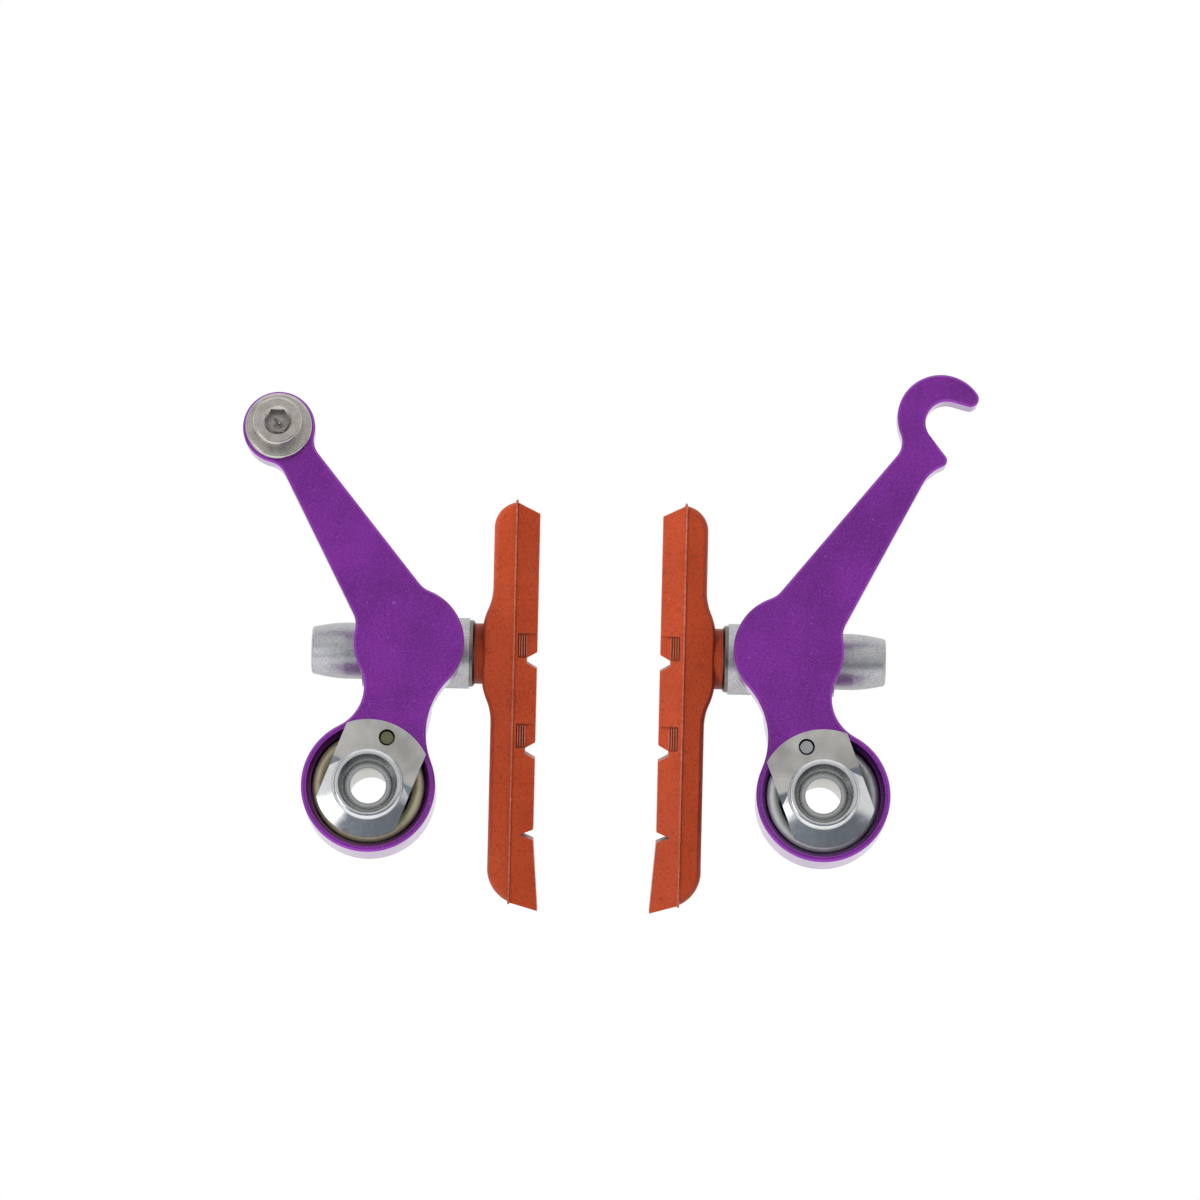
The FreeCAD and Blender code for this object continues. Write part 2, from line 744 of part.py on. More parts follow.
def make_cap(name, side):
    """The tension cap: a turned hub with a dish for the bolt, spanner flats and a lobe for the spring."""
    body = new_body(f"{name}_tension_cap")
    half = s.cap_flats / 2
    shoulder = root(s.lobe_radius * s.lobe_radius - half * half)
    lobe = Drawing(body, "lobe", "XZ_Plane", cap_back)
    lobe.chain((half, 0.0), (half, shoulder, s.lobe_radius, -1), (-half, shoulder), (-half, 0.0))
    pad(lobe, s.lobe_thickness)
    slope = Drawing(body, "lobe_slope", "YZ_Plane")
    lobe_front = -cap_back - s.lobe_thickness
    slope.chain(
        (lobe_front, s.lobe_break),
        (lobe_front + s.lobe_fall, 0.0),
        (lobe_front + s.lobe_fall, -CUT_PAST),
        (lobe_front - CUT_PAST, -CUT_PAST),
        (lobe_front - CUT_PAST, s.lobe_break),
    )
    pocket(slope, both_ways=True)

    blank = Drawing(body, "blank", "XY_Plane")
    blank.chain(
        (0.0, -s.bush_length),
        (s.cap_hub_radius, -s.bush_length),
        (s.cap_hub_radius, -cap_back),
        (s.skirt_radius, -cap_back),
        (s.skirt_radius, -cap_back - s.skirt_edge),
        (s.lip_radius, s.lip_round - cap_lip, s.lip_round, 1),
        (s.lip_radius - s.lip_round, -cap_lip),
        (0.0, -cap_lip),
    )
    turn(blank, "V_Axis")

    flats = Drawing(body, "flats", "XZ_Plane", cap_back)
    clear = s.lobe_radius + CUT_PAST
    for way in (1, -1):
        flats.chain((way * half, -clear), (way * clear, -clear), (way * clear, clear), (way * half, clear))
    pocket(flats, towards_normal=True)

    dish = Drawing(body, "dish", "XY_Plane")
    floor = cap_lip - s.dish_depth
    dish.chain(
        (0.0, CUT_PAST - s.bush_length),
        (s.cap_hole_radius, CUT_PAST - s.bush_length),
        (s.cap_hole_radius, -floor),
        (s.dish_floor_radius, -floor, s.dish_curve, 1),
        (s.dish_radius, -cap_lip),
        (s.dish_radius, -cap_lip - CUT_PAST),
        (0.0, -cap_lip - CUT_PAST),
    )
    turn(dish, "V_Axis", cut=True)

    hole = Drawing(body, "spring_hole", "XZ_Plane", cap_back)
    hole.circle((0.0, s.coil_radius), s.spring_hole_radius)
    pocket(hole, towards_normal=True)
    put(body, pivot_place(side), (Vector(0, side, 0), s.cap_lean.value))
    bind(body, ".Placement.Rotation.Angle", s.cap_lean)
    return body


def spring_tail_spot(side):
    """Where the spring's tail goes into the floor of the cup, half a turn from its leg."""
    return (-side * s.coil_radius * sine(s.cap_lean), -s.coil_radius * cosine(s.cap_lean))


def make_spring(label, side):
    """A torsion spring: the coil, a leg forward into the cap and a tail back into the arm."""
    body = new_body(label)
    wire = Drawing(body, "wire", "XY_Plane")
    wire.circle((s.coil_radius, -coil_start), s.wire_radius)
    coil = body.newObject("PartDesign::AdditiveHelix", f"{body.Name}_coil")
    coil.Profile = wire.sketch
    coil.ReferenceAxis = (wire.sketch, ["V_Axis"])
    coil.Mode = "pitch-height-angle"
    coil.Reversed = True
    bind(coil, "Pitch", s.coil_height / COIL_TURNS)
    bind(coil, "Height", s.coil_height)
    doc.recompute()
    ends = {
        "leg": (-s.coil_radius, coil_end, s.spring_leg),
        "tail": (s.coil_radius, coil_start, s.spring_tail),
    }
    for end, (x, depth, length) in ends.items():
        elbow = body.newObject("PartDesign::AdditiveSphere", f"{body.Name}_{end}_elbow")
        bind(elbow, "Radius", s.wire_radius + s.elbow_swell)
        bind(elbow, ".Placement.Base.x", x)
        bind(elbow, ".Placement.Base.y", -depth)
        rod = Drawing(body, end, "XZ_Plane", depth)
        rod.circle((x, 0.0), s.wire_radius)
        feature = pad(rod, length)
        feature.Reversed = end == "tail"
    doc.recompute()
    put(body, pivot_place(side), (Vector(0, 1, 0), 90 + side * s.cap_lean.value))
    bind(body, ".Placement.Rotation.Angle", 90 + side * s.cap_lean)
    return body


def mirror(label, piece):
    """The same piece for the right arm, as its mirror image."""
    twin = doc.addObject("Part::Mirroring", label)
    twin.Source = piece
    twin.Normal = Vector(1, 0, 0)
    return twin


def post_cylinder(name, radius, start, length):
    """A cylinder along the post, from start towards +X."""
    rod = doc.addObject("Part::Cylinder", name)
    rod.Placement = Placement(Vector(), Rotation(Vector(0, 1, 0), 90))
    bind(rod, "Radius", radius)
    bind(rod, "Height", length)
    bind(rod, ".Placement.Base.x", start)
    return rod


def boolean(kind, name, first, second):
    result = doc.addObject(f"Part::{kind}", name)
    result.Base = first
    result.Tool = second
    return result


def ball(name, radius):
    sphere = doc.addObject("Part::Sphere", name)
    bind(sphere, "Radius", radius)
    return sphere


def make_dome(label, side, inner):
    """A dome washer: flat on the web, with a ball face about the post's centre."""
    reach = ball_radius - web_half
    start = web_half if inner else -ball_radius
    disc = post_cylinder(f"{label}_disc", s.dome_radius, start, reach)
    dome = boolean("Common", f"{label}_dome", disc, ball(f"{label}_ball", ball_radius))
    hole = post_cylinder(f"{label}_hole", s.dome_hole_radius, -CUT_PAST * 4, CUT_PAST * 8)
    washer = boolean("Cut", label, dome, hole)
    put_on_post(washer, side)
    return washer


def make_cup(label, side, inner):
    """A cup washer that slides on the dome's ball face."""
    start = dome_rim - s.cup_washer_lap
    end = inner_cup_end if inner else outer_cup_end
    disc = post_cylinder(f"{label}_disc", s.cup_washer_radius, start if inner else -end, end - start)
    hollow = boolean("Cut", f"{label}_hollow", disc, ball(f"{label}_ball", ball_radius + s.ball_gap))
    hole = post_cylinder(f"{label}_hole", s.stud_radius + s.stud_gap, -CUT_PAST * 4, CUT_PAST * 8)
    washer = boolean("Cut", label, hollow, hole)
    put_on_post(washer, side)
    return washer


def make_thin_washer(label, side):
    body = new_body(label)
    profile = Drawing(body, "profile", "XY_Plane")
    hole, outside = s.stud_radius + s.thread_gap, s.thin_washer_radius
    profile.chain(
        (inner_cup_end, hole),
        (inner_cup_end, outside),
        (thin_washer_end - s.washer_chamfer, outside),
        (thin_washer_end, outside - s.washer_chamfer),
        (thin_washer_end, hole),
    )
    turn(profile, "H_Axis")
    put_on_post(body, side)
    return body


def make_nut(label, side):
    """The barrel nut, with a swelling taper and a socket in its end."""
    body = new_body(label)
    start, end = -outer_cup_end, -outer_cup_end - s.nut_length
    profile = Drawing(body, "profile", "XY_Plane")
    hole = s.stud_radius + s.thread_gap
    profile.chain(
        (start, hole),
        (start, s.nut_radius),
        (start - s.nut_shoulder, s.nut_radius, s.nut_curve, -1),
        (end + s.nut_round, s.nut_end_radius, s.nut_round, -1),
        (end, s.nut_end_radius - s.nut_round),
        (end, 0.0),
        (end + s.nut_socket_depth, 0.0),
        (end + s.nut_socket_depth, hole),
    )
    turn(profile, "H_Axis")
    socket = Drawing(body, "socket", "YZ_Plane", end)
    socket.hexagon((0.0, 0.0), s.nut_socket)
    pocket(socket, s.nut_socket_depth, towards_normal=True)
    put_on_post(body, side)
    return body


def draw_insert(body):
    """Draws the outline of the steel plate inside a pad."""
    insert = Drawing(body, "insert", "YZ_Plane", insert_back)
    half = s.plate_insert_width / 2
    insert.chain(
        (-half, -s.plate_insert_bottom),
        (half, -s.plate_insert_bottom),
        (half, s.plate_insert_top),
        (-half, s.plate_insert_top),
    )
    return insert


def make_stud(label):
    """The threaded post with the steel plate that the pad is moulded round."""
    body = new_body(label)
    pad(draw_insert(body), s.plate_insert_thickness)
    reach = outer_cup_end + s.nut_length - s.nut_socket_depth - s.stud_end_gap
    rod = Drawing(body, "rod", "YZ_Plane", -reach)
    rod.circle((0.0, 0.0), s.stud_radius)
    pad(rod, insert_back + reach)
    lean_on_left_post(body)
    return body


def make_pad(label):
    """The moulded rubber pad, with its boss, backing, braking block, water grooves and wiper tip."""
    body = new_body(label)
    top, bottom = s.pad_top, -s.pad_bottom
    swell, ramp = s.hump_height, s.hump_ramp
    ramp_curve = (swell * swell + ramp * ramp) / (4 * swell)
    foot, middle = s.hump_half + ramp, s.hump_half + ramp / 2
    slope = hump_top + swell / 2
    backing = Drawing(body, "backing", "XZ_Plane")
    backing.chain(
        (pad_parting, top, s.back_top_round, -1),
        (pad_back, top - s.back_top_round),
        (pad_back, foot, ramp_curve, 1),
        (slope, middle, ramp_curve, -1),
        (hump_top, s.hump_half),
        (hump_top, -s.hump_half, ramp_curve, -1),
        (slope, -middle, ramp_curve, 1),
        (pad_back, -foot),
        (pad_back, bottom + s.back_bottom_round, s.back_bottom_round, -1),
        (pad_parting, bottom),
    )
    pad(backing, s.pad_width, both_ways=True)

    half_width = s.pad_width.value / 2

    def back_edge(edge):
        ends = [v.Point for v in edge.Vertexes]
        on_side = all(abs(abs(p.y) - half_width) < TINY for p in ends) and ends[0].y * ends[-1].y > 0
        at_parting = all(abs(p.x - pad_parting.value) < TINY for p in ends)
        return on_side and not at_parting

    dress(body, "Fillet", s.back_edge_round, back_edge)

    block = Drawing(body, "block", "XZ_Plane")
    groove_floor = pad_face - s.groove_depth
    grooves = []
    for place in (-s.groove_first, -s.groove_second):
        grooves += [
            (pad_face, place + s.groove_half),
            (groove_floor, place + s.groove_floor),
            (groove_floor, place - s.groove_floor),
            (pad_face, place - s.groove_half),
        ]
    block.chain(
        (pad_parting, top),
        (pad_face, top - s.block_top_slope),
        *grooves,
        (pad_face, s.slit_half - s.slit_place),
        (pad_face - s.slit_depth, -s.slit_place),
        (pad_face, -s.slit_half - s.slit_place),
        (pad_face + s.toe_tip_reach, bottom - s.toe_tip_drop),
        (pad_parting, bottom),
    )
    pad(block, s.pad_width, both_ways=True)

    draft = Drawing(body, "draft", "XY_Plane")
    full, face_half = s.pad_width / 2, s.pad_face_width / 2
    tip = pad_face + s.toe_tip_reach
    for way in (1, -1):
        draft.chain(
            (pad_parting, way * full),
            (tip, way * face_half),
            (tip + full, way * full * 2),
            (thin_washer_end, way * full * 2),
            (thin_washer_end, way * (full - s.back_taper)),
        )
    pocket(draft, both_ways=True)

    recess_edge = pad_face - s.recess_width
    edge_half = full - (full - face_half) * (recess_edge - pad_parting) / (tip - pad_parting)
    for index, place in enumerate((-s.groove_first, -s.groove_second)):
        recess = Drawing(body, f"recess_{index}", "XY_Plane", place + s.groove_floor)
        for way in (1, -1):
            recess.chain(
                (recess_edge, way * (edge_half - s.recess_depth)),
                (tip, way * (face_half - s.recess_depth - s.recess_fall)),
                (tip, way * full * 2),
                (recess_edge, way * full * 2),
            )
        pocket(recess, s.recess_rise, towards_normal=True)

    flash = Drawing(body, "flash", "XZ_Plane")
    thin = s.flash_thickness / 2
    flash.chain(
        (pad_parting - thin, bottom),
        (pad_parting + thin, bottom),
        (pad_parting + thin, top),
        (pad_parting - thin, top),
    )
    pad(flash, s.pad_width + s.flash_proud * 2, both_ways=True)

    collar = Drawing(body, "collar", "YZ_Plane", thin_washer_end)
    collar.circle((0.0, 0.0), s.collar_radius)
    pad(collar, s.collar_length + s.hump_height)

    pocket(draw_insert(body), s.plate_insert_thickness, towards_normal=True)
    hole = Drawing(body, "stud_hole", "YZ_Plane", insert_back)
    hole.circle((0.0, 0.0), s.stud_radius)
    pocket(hole)
    lean_on_left_post(body)
    return body


def make_anchor_bolt(side):
    body = new_body("cable_anchor_bolt")
    seat = plate_front + s.anchor_washer_thickness
    crown = seat + s.anchor_head_height
    profile = Drawing(body, "profile", "XY_Plane")
    profile.chain(
        (0.0, s.anchor_bolt_reach - s.plate_back),
        (s.anchor_thread_radius, s.anchor_bolt_reach - s.plate_back),
        (s.anchor_thread_radius, -seat),
        (s.anchor_head_radius, -seat),
        (s.anchor_head_radius, s.anchor_head_round - crown, s.anchor_head_round, 1),
        (s.anchor_head_radius - s.anchor_head_round, -crown),
        (0.0, -crown),
    )
    turn(profile, "V_Axis")
    socket = Drawing(body, "socket", "XZ_Plane", crown)
    socket.hexagon((0.0, 0.0), s.anchor_socket)
    pocket(socket, s.anchor_socket_depth)
    rim = Drawing(body, "socket_rim", "XY_Plane")
    rim.chain(
        (0.0, -crown - CUT_PAST),
        (s.anchor_socket_rim + CUT_PAST, -crown - CUT_PAST),
        (0.0, s.anchor_socket_rim - crown),
    )
    turn(rim, "V_Axis", cut=True)
    floor = s.anchor_socket_depth - crown
    point = Drawing(body, "socket_point", "XY_Plane")
    point.chain(
        (0.0, floor - CUT_PAST / 2),
        (s.anchor_socket_cone, floor - CUT_PAST / 2),
        (s.anchor_socket_cone, floor),
        (0.0, floor + s.anchor_socket_cone / 2),
    )
    turn(point, "V_Axis", cut=True)
    put(body, anchor_place(side))
    return body


def make_anchor_washer(side):
    body = new_body("cable_anchor_washer")
    seat = plate_front + s.anchor_washer_thickness
    bore = s.anchor_thread_radius + s.thread_gap
    outside, curve = s.anchor_washer_radius, s.anchor_washer_round
    profile = Drawing(body, "profile", "XY_Plane")
    profile.chain(
        (bore, -plate_front),
        (outside, -plate_front),
        (outside, curve - seat, curve, 1),
        (outside - curve, -seat),
        (bore, -seat),
    )
    turn(profile, "V_Axis")
    put(body, anchor_place(side))
    return body


def anchor_place(side):
    return (-side * (s.stud_spacing / 2 + s.anchor_x), 0.0, s.anchor_z)


def make_side(name, side):
    return [
        make_arm(name, side),
        make_bush(name, side),
        make_cap(name, side),
        make_dome(f"{name}_inner_dome_washer", side, inner=True),
        make_dome(f"{name}_outer_dome_washer", side, inner=False),
        make_cup(f"{name}_inner_cup_washer", side, inner=True),
        make_cup(f"{name}_outer_cup_washer", side, inner=False),
        make_thin_washer(f"{name}_thin_washer", side),
        make_nut(f"{name}_pad_nut", side),
    ]


pieces = [piece for name, side in SIDES.items() for piece in make_side(name, side)]
pieces += [make_anchor_bolt(SIDES["left"]), make_anchor_washer(SIDES["left"])]
twins = {
    "return_spring": make_spring("left_return_spring", SIDES["left"]),
    "pad_stud": make_stud("left_pad_stud"),
    "brake_pad": make_pad("left_brake_pad"),
}
for kind, left in twins.items():
    pieces += [left, mirror(f"right_{kind}", left)]
doc.recompute()

for thing in doc.Objects:
    assert not {"Invalid", "Error"} & set(thing.State), f"{thing.Label}: {thing.State}"

os.makedirs("parts", exist_ok=True)
for piece in pieces:
    shape = piece.Shape
    assert not shape.isNull() and shape.isValid(), f"{piece.Label} is not a sound shape"
    assert len(shape.Solids) == 1, f"{piece.Label} has {len(shape.Solids)} solids"
    shape.exportStep(f"parts/{piece.Label}.step")
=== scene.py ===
"""Looks for the cantilever brake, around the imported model: materials, small details, light and camera."""

import json
import math
import random

import bmesh
import bpy
from mathutils import Matrix, Quaternion, Vector


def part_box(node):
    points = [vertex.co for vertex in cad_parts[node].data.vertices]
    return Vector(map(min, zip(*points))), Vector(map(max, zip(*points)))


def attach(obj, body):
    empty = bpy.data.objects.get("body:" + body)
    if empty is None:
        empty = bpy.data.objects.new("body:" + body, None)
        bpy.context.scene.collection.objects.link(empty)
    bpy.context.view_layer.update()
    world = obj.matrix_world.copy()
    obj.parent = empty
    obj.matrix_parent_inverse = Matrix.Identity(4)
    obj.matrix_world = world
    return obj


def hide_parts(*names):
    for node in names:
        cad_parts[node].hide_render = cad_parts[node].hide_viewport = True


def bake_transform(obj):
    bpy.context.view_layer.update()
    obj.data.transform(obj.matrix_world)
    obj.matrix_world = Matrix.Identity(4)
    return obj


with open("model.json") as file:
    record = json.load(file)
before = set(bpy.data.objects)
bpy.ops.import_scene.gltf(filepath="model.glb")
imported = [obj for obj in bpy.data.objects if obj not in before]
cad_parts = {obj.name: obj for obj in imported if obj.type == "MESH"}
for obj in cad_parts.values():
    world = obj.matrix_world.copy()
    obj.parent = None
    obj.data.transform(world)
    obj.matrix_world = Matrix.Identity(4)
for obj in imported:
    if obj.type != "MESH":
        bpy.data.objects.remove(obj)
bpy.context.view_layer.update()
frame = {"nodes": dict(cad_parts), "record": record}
nodes = frame["nodes"]

MM = 0.001
SIDES = {"left": -1, "right": 1}

# Places that the details share with the model
PIVOT_X = 40 * MM
LOBE_FRONT = -22.55 * MM
LOBE_SLACK = 0.08 * MM
DISH_RADIUS = 5.3 * MM
DISH_LIP = 0.2 * MM
BALL = Vector((33.5, -7.9, 25.65)) * MM
PARTING = 18.45 * MM
PAD_TOP = 27.1 * MM
PAD_BOTTOM = -43.8 * MM
PAD_HALF_WIDTH = 6.5 * MM
PAD_LEAN = Matrix.Rotation(math.radians(10), 3, "X")
ANCHOR = Vector((-57.5, 0, 63.5)) * MM
WIRE_RADIUS = 1.1 * MM
SPRING_LEG = 2.85 * MM
SPRING_TAIL = 2.3 * MM
RECESS_EDGE = 19.15 * MM
RECESS_DEPTH = 0.35 * MM
RECESS_SLOPE = 0.9 / 4.4
BLOCK_DRAFT = 1.2 / 5.1
RECESS_RISE = 4.4 * MM
RECESS_LOWS = (-0.45 * MM, -16.45 * MM)

# Sizes of the details
FLASH_STEP = 0.4 * MM
FLASH_HALF = 0.2 * MM
FLASH_ROOT = 0.3 * MM
FLASH_LEAST = 0.23 * MM
FLASH_MOST = 0.6 * MM
FLASH_LOW = PAD_BOTTOM + 9 * MM
FLASH_SETTLE = 0.5
FLASH_THIN = 0.7
FLASH_SPREAD = 0.6
FLASH_CREST = 0.6
RIB_COUNT = 4
RIB_PITCH = 0.42 * MM
RIB_HALF = 0.13 * MM
RIB_HEIGHT = 0.3 * MM
RIB_ROOT = 0.1 * MM
RIB_INSET = 0.35 * MM
RIB_FIRST = 0.7
RIB_CREST = 0.5
THREAD_ROOT = 2.4 * MM
THREAD_HEIGHT = 0.22 * MM
THREAD_PITCH = 0.4 * MM
THREAD_HALF = 0.4 * THREAD_PITCH
THREAD_START = -15.3 * MM
THREAD_TURNS = 1.6
THREAD_SIDES = 48
THREAD_RUNOUT = 0.25
END_DEPTH = 0.8 * MM
WELD = 0.001 * MM
SHARP = math.radians(40)

# Ranges that the materials share: noise about its middle, the bend of an edge, and rays
FLECK_REACH = (0.02, 0.18)
EDGE_BEND = (0.02, 0.2)
SHADE_SAMPLES = 8


# Materials


class Shader:
    """One node material, built link by link."""

    def __init__(self, name):
        self.material = bpy.data.materials.new(name)
        self.material.use_nodes = True
        self.tree = self.material.node_tree
        self.surface = self.tree.nodes["Principled BSDF"]
        self.place = self.add("ShaderNodeTexCoord").outputs["Object"]

    def add(self, kind, inputs=None, **settings):
        """Adds a node; a value that is a socket is linked, any other is set."""
        node = self.tree.nodes.new(kind)
        for name, value in settings.items():
            setattr(node, name, value)
        for name, value in (inputs or {}).items():
            self.feed(node.inputs[name], value)
        return node

    def feed(self, socket, value):
        if isinstance(value, bpy.types.NodeSocket):
            self.tree.links.new(value, socket)
        else:
            socket.default_value = value

    def finish(self, **inputs):
        """Sets the surface's sockets; spaces in their names are written as underscores."""
        for name, value in inputs.items():
            self.feed(self.surface.inputs[name.replace("_", " ")], value)
        return self.material

    def math(self, operation, *values):
        node = self.add("ShaderNodeMath", operation=operation)
        for socket, value in zip(node.inputs, values):
            self.feed(socket, value)
        return node.outputs[0]

    def noise(self, size, detail=3.0, rough=0.55, stretch=None):
        """Noise whose lumps are about this size, in metres."""
        place = self.place
        if stretch:
            place = self.add("ShaderNodeMapping", {"Vector": place, "Scale": stretch}).outputs[0]
        settings = {"Vector": place, "Scale": 1 / size, "Detail": detail, "Roughness": rough}
        return self.add("ShaderNodeTexNoise", settings).outputs["Fac"]

    def span(self, value, low, high, to_low=0.0, to_high=1.0):
        """Maps a value from one range to another, clamped."""
        inputs = {"Value": value, "From Min": low, "From Max": high, "To Min": to_low, "To Max": to_high}
        return self.add("ShaderNodeMapRange", inputs).outputs[0]

    def patches(self, size, low, high, share=1.0, **settings):
        """Soft patches of noise, from 0 to a share."""
        return self.span(self.noise(size, **settings), low, high, 0.0, share)

    def mix(self, factor, first, second):
        node = self.add("ShaderNodeMix", data_type="RGBA")
        self.feed(node.inputs[0], factor)
        for socket, colour in zip((node.inputs[6], node.inputs[7]), (first, second)):
            self.feed(socket, colour if isinstance(colour, bpy.types.NodeSocket) else (*colour, 1))
        return node.outputs[2]

    def flecks(self, colour, grain, light, dark, share):
        """A colour with light flecks where the grain is high and dark ones where it is low."""
        for way, fleck in ((1, light), (-1, dark)):
            start, full = (0.5 + way * reach for reach in FLECK_REACH)
            colour = self.mix(self.span(grain, start, full, 0.0, share), colour, fleck)
        return colour

    def edges(self, radius, share):
        """A share along sharp edges and 0 on open faces, for lighter edges that are part wear and part
        painted highlight.
        """
        soft = self.add("ShaderNodeBevel", {"Radius": radius}, samples=SHADE_SAMPLES).outputs[0]
        true = self.add("ShaderNodeNewGeometry").outputs["Normal"]
        dot = self.add("ShaderNodeVectorMath", {0: soft, 1: true}, operation="DOT_PRODUCT")
        return self.span(self.math("SUBTRACT", 1.0, dot.outputs["Value"]), *EDGE_BEND, 0.0, share)

    def crevices(self, distance, low=0.35, high=0.9, share=1.0, alone=True):
        """A share of painted shade deep in sockets and corners, 0 in the open; beside other pieces too
        unless alone.
        """
        settings = {"samples": SHADE_SAMPLES, "only_local": alone}
        node = self.add("ShaderNodeAmbientOcclusion", {"Distance": distance}, **settings)
        return self.span(node.outputs["AO"], low, high, share, 0.0)

    def bump(self, height, distance, strength, normal=None):
        inputs = {"Height": height, "Distance": distance, "Strength": strength}
        if normal:
            inputs["Normal"] = normal
        return self.add("ShaderNodeBump", inputs).outputs[0]

    def split(self):
        return self.add("ShaderNodeSeparateXYZ", {0: self.place}).outputs

    def radius_about(self, x, z):
        """The distance from an axis along Y that is mirrored left and right."""
        parts = self.split()
        across = self.math("SUBTRACT", self.math("ABSOLUTE", parts["X"]), x)
        up = self.math("SUBTRACT", parts["Z"], z)
        squares = [self.math("POWER", part, 2.0) for part in (across, up)]
        return self.math("SQRT", self.math("ADD", *squares))

    def rings(self, radius, pitch):
        """Rings round an axis, from -1 to 1: turning marks in the bump, and dark bands in the dish that are
        part turning marks and part painted reflection.
        """
        return self.math("SINE", self.math("MULTIPLY", radius, 2 * math.pi / pitch))


def anodised_purple():
    """Dyed metal under a clear skin, with fine flecks, a few nicks and lighter edges, part wear and part
    painted highlight.
    """
    shade = Shader("anodised_purple")
    colour = shade.mix(shade.patches(9 * MM, 0.35, 0.65), (0.203, 0.0125, 0.314), (0.275, 0.022, 0.42))
    fleck = shade.noise(0.28 * MM, detail=4.0, rough=0.8)
    colour = shade.flecks(colour, fleck, light=(0.36, 0.06, 0.51), dark=(0.09, 0.006, 0.15), share=0.85)
    nick = shade.patches(0.7 * MM, 0.71, 0.78, 0.4, detail=2.0)
    colour = shade.mix(nick, colour, (0.55, 0.28, 0.68))
    # Lighter along the edges: part wear of the dye, part painted highlight.
    colour = shade.mix(shade.edges(0.4 * MM, 0.85), colour, (0.66, 0.13, 0.82))
    rough = shade.span(shade.noise(3 * MM), 0.3, 0.7, 0.28, 0.38)
    grain = shade.noise(0.09 * MM, detail=2.0)
    normal = shade.bump(grain, 0.004 * MM, 0.5)
    return shade.finish(
        Base_Color=colour, Metallic=0.9, Roughness=rough, Normal=normal,
        Coat_Weight=1.0, Coat_Roughness=0.18, Coat_IOR=1.35,
    )


def blasted_alloy():
    """Pale grey alloy with a coarse blasted grain."""
    shade = Shader("blasted_alloy")
    cloud = shade.patches(1.6 * MM, 0.35, 0.65, detail=5.0, rough=0.65)
    colour = shade.mix(cloud, (0.46, 0.465, 0.475), (0.53, 0.535, 0.545))
    grain = shade.noise(0.3 * MM, detail=4.0, rough=0.75)
    colour = shade.flecks(colour, grain, light=(0.68, 0.685, 0.695), dark=(0.26, 0.263, 0.27), share=0.9)
    # Lighter along the edges: part wear, part painted highlight.
    colour = shade.mix(shade.edges(0.25 * MM, 0.5), colour, (0.7, 0.7, 0.71))
    rough = shade.span(grain, 0.3, 0.7, 0.32, 0.45)
    normal = shade.bump(grain, 0.012 * MM, 0.7)
    return shade.finish(Base_Color=colour, Metallic=0.9, Roughness=rough, Normal=normal)


def polished_alloy():
    """Turned and polished all round, with a satin face on the lobe, painted shade deep in the dish, and
    dark rings in the dish that are part turning marks and part painted reflection.
    """
    shade = Shader("polished_alloy")
    face = {0: shade.split()["Y"], 1: LOBE_FRONT, 2: LOBE_SLACK}
    flat = shade.add("ShaderNodeMath", face, operation="COMPARE").outputs[0]
    radius = shade.radius_about(PIVOT_X, 0.0)
    dish = shade.span(radius, DISH_RADIUS, DISH_RADIUS - DISH_LIP)
    bright = shade.mix(shade.patches(1.6 * MM, 0.3, 0.7), (0.6, 0.61, 0.62), (0.7, 0.71, 0.72))
    sweep = shade.patches(6 * MM, 0.35, 0.65, detail=2.0)
    satin = shade.mix(sweep, (0.46, 0.445, 0.42), (0.7, 0.685, 0.655))
    speck = shade.patches(0.3 * MM, 0.55, 0.7, 0.6, detail=4.0, rough=0.8)
    satin = shade.mix(speck, satin, (0.34, 0.33, 0.31))
    colour = shade.mix(flat, bright, satin)
    # Lighter along the edges: part wear, part painted highlight.
    colour = shade.mix(shade.edges(0.2 * MM, 0.4), colour, (0.85, 0.85, 0.85))
    # Painted shade deep in the dish.
    deep = shade.math("MULTIPLY", dish, shade.crevices(3 * MM))
    colour = shade.mix(deep, colour, (0.12, 0.125, 0.13))
    # Dark rings in the dish: part turning marks, part painted reflection.
    band = shade.span(shade.rings(radius, 0.95 * MM), -1.0, 1.0, 0.0, 0.75)
    colour = shade.mix(shade.math("MULTIPLY", dish, band), colour, (0.2, 0.2, 0.19))
    dull = shade.math("ADD", shade.math("MULTIPLY", flat, 0.2), shade.math("MULTIPLY", dish, 0.1))
    rough = shade.math("ADD", shade.span(shade.noise(0.8 * MM), 0.3, 0.7, 0.13, 0.2), dull)
    marks = shade.math("MULTIPLY", shade.rings(radius, 0.45 * MM), dish)
    fine = shade.bump(shade.noise(0.15 * MM), 0.003 * MM, 0.4)
    normal = shade.bump(marks, 0.008 * MM, 0.6, normal=fine)
    return shade.finish(Base_Color=colour, Metallic=1.0, Roughness=rough, Normal=normal)


